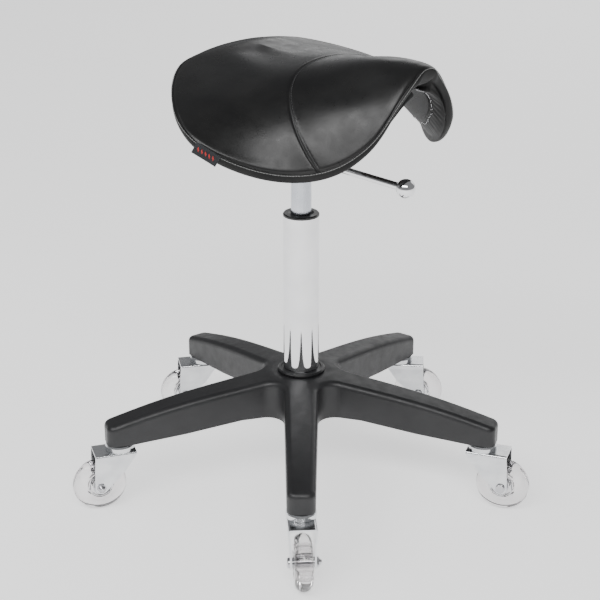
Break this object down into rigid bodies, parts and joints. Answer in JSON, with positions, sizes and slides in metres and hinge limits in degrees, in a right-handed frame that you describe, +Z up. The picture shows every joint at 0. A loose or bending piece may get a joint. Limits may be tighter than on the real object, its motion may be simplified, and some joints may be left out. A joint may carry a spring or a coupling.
{
  "type": "saddle stool",
  "caption": "Height-adjustable saddle stool: padded black saddle seat on a gas-lift column with a chrome release lever, a star base and swivel casters with clear wheels.",
  "frame": {"origin": "centre of the footprint on the floor, with the column axis at x = 0, y = 0.0482 m", "axes": "+Z up the column; one base arm points along -Y; the seat is parked with its pommel turned 47.5 degrees from +X towards -Y"},
  "size_m": [0.6359, 0.5713, 0.6408],
  "materials": {
    "zinc": "zinc plated, satin",
    "cup_zinc": "zinc plated, bright",
    "axle_steel": "zinc plated",
    "clear_tyre": "clear polyurethane, slightly smoky",
    "wheel_core": "clear moulded core",
    "bearing_steel": "ground",
    "base_nylon": "fine moulded texture, satin",
    "hub_ring": "satin",
    "column_chrome": "polished",
    "bush_black": "satin",
    "plain_steel": "plain",
    "rod_steel": "ground",
    "rubber_black": "matt",
    "cylinder_satin": "satin nickel",
    "black_steel": "black powder coat",
    "plywood": "birch plywood",
    "brass": "plain",
    "foam": "moulded polyurethane foam",
    "seat_leather": "glossy, fine grain, pale stitching",
    "dust_cloth": "black woven",
    "staple_steel": "bright",
    "label_cloth": "woven tab",
    "lever_chrome": "polished"
  },
  "bodies": {
    "base": {"star_base": "base_nylon", "hub_ring": "hub_ring", "column_tube": "column_chrome", "column_bush": "bush_black", "column_foot": "plain_steel", "lower_thrust_race": "bearing_steel", "thrust_balls": "bearing_steel", "caster_stems": "plain_steel", "caster_cups": "cup_zinc", "caster_swivel_balls": "bearing_steel", "stem_grip_rings": "plain_steel"},
    "gas_rod": {"piston_rod": "rod_steel", "piston_head": "rod_steel", "upper_thrust_race": "bearing_steel", "bump_stop": "rubber_black", "rod_clip": "plain_steel"},
    "seat": {"gas_cylinder": "cylinder_satin", "rod_guide_seal": "bush_black", "taper_socket": "black_steel", "mechanism_plate": "black_steel", "mounting_block": "plywood", "mounting_bolts": "plain_steel", "threaded_inserts": "brass", "seat_pan": "plywood", "seat_foam": "foam", "seat_cover": "seat_leather", "underside_panel": "dust_cloth", "staples": "staple_steel", "label_tab": "label_cloth"},
    "lever": {"lever_rod": "lever_chrome", "lever_knob": "lever_chrome", "lever_pivot": "plain_steel"},
    "release_pin": {"release_pin": "rod_steel"},
    "fork_1": {"fork_1": "zinc", "axle_1": "axle_steel"},
    "wheel_1": {"tyre_1": "clear_tyre", "wheel_core_1": "wheel_core", "bearings_1": "bearing_steel"},
    "fork_2": {"fork_2": "zinc", "axle_2": "axle_steel"},
    "wheel_2": {"tyre_2": "clear_tyre", "wheel_core_2": "wheel_core", "bearings_2": "bearing_steel"},
    "fork_3": {"fork_3": "zinc", "axle_3": "axle_steel"},
    "wheel_3": {"tyre_3": "clear_tyre", "wheel_core_3": "wheel_core", "bearings_3": "bearing_steel"},
    "fork_4": {"fork_4": "zinc", "axle_4": "axle_steel"},
    "wheel_4": {"tyre_4": "clear_tyre", "wheel_core_4": "wheel_core", "bearings_4": "bearing_steel"},
    "fork_5": {"fork_5": "zinc", "axle_5": "axle_steel"},
    "wheel_5": {"tyre_5": "clear_tyre", "wheel_core_5": "wheel_core", "bearings_5": "bearing_steel"}
  },
  "joints": [
    {"name": "seat_swivel", "type": "hinge", "parent": "base", "child": "gas_rod", "pos_m": [0, 0.0482, 0.09], "axis": [0, 0, 1], "continuous": true},
    {"name": "seat_height", "type": "slide", "parent": "gas_rod", "child": "seat", "axis": [0, 0, 1], "range_m": [-0.045, 0.09]},
    {"name": "lever_lift", "type": "hinge", "parent": "seat", "child": "lever", "pos_m": [0.02229, 0.02387, 0.483], "axis": [-0.7373, -0.6756, 0], "range_deg": [0, 7], "stiffness_Nm_per_rad": 2},
    {"name": "release_press", "type": "slide", "parent": "seat", "child": "release_pin", "axis": [0, 0, 1], "range_m": [-0.0052, 0]},
    {"name": "caster_swivel_1", "type": "hinge", "parent": "base", "child": "fork_1", "pos_m": [0, -0.2172, 0.088], "axis": [0, 0, 1], "continuous": true},
    {"name": "wheel_spin_1", "type": "hinge", "parent": "fork_1", "child": "wheel_1", "pos_m": [0.00216, -0.24812, 0.0375], "axis": [0.9976, 0.0698, 0], "continuous": true},
    {"name": "caster_swivel_2", "type": "hinge", "parent": "base", "child": "fork_2", "pos_m": [0.25241, -0.03381, 0.088], "axis": [0, 0, 1], "continuous": true},
    {"name": "wheel_spin_2", "type": "hinge", "parent": "fork_2", "child": "wheel_2", "pos_m": [0.28172, -0.04391, 0.0375], "axis": [0.3256, 0.9455, 0], "continuous": true},
    {"name": "caster_swivel_3", "type": "hinge", "parent": "base", "child": "fork_3", "pos_m": [0.156, 0.26291, 0.088], "axis": [0, 0, 1], "continuous": true},
    {"name": "wheel_spin_3", "type": "hinge", "parent": "fork_3", "child": "wheel_3", "pos_m": [0.18688, 0.26021, 0.0375], "axis": [0.0872, 0.9962, 0], "continuous": true},
    {"name": "caster_swivel_4", "type": "hinge", "parent": "base", "child": "fork_4", "pos_m": [-0.156, 0.26291, 0.088], "axis": [0, 0, 1], "continuous": true},
    {"name": "wheel_spin_4", "type": "hinge", "parent": "fork_4", "child": "wheel_4", "pos_m": [-0.18632, 0.25647, 0.0375], "axis": [0.2079, -0.9781, 0], "continuous": true},
    {"name": "caster_swivel_5", "type": "hinge", "parent": "base", "child": "fork_5", "pos_m": [-0.25241, -0.03381, 0.088], "axis": [0, 0, 1], "continuous": true},
    {"name": "wheel_spin_5", "type": "hinge", "parent": "fork_5", "child": "wheel_5", "pos_m": [-0.28189, -0.04339, 0.0375], "axis": [0.309, -0.9511, 0], "continuous": true}
  ],
  "couplings": [
    {"joint": "release_press", "follows": "lever_lift", "m_per_rad": -0.04}
  ]
}
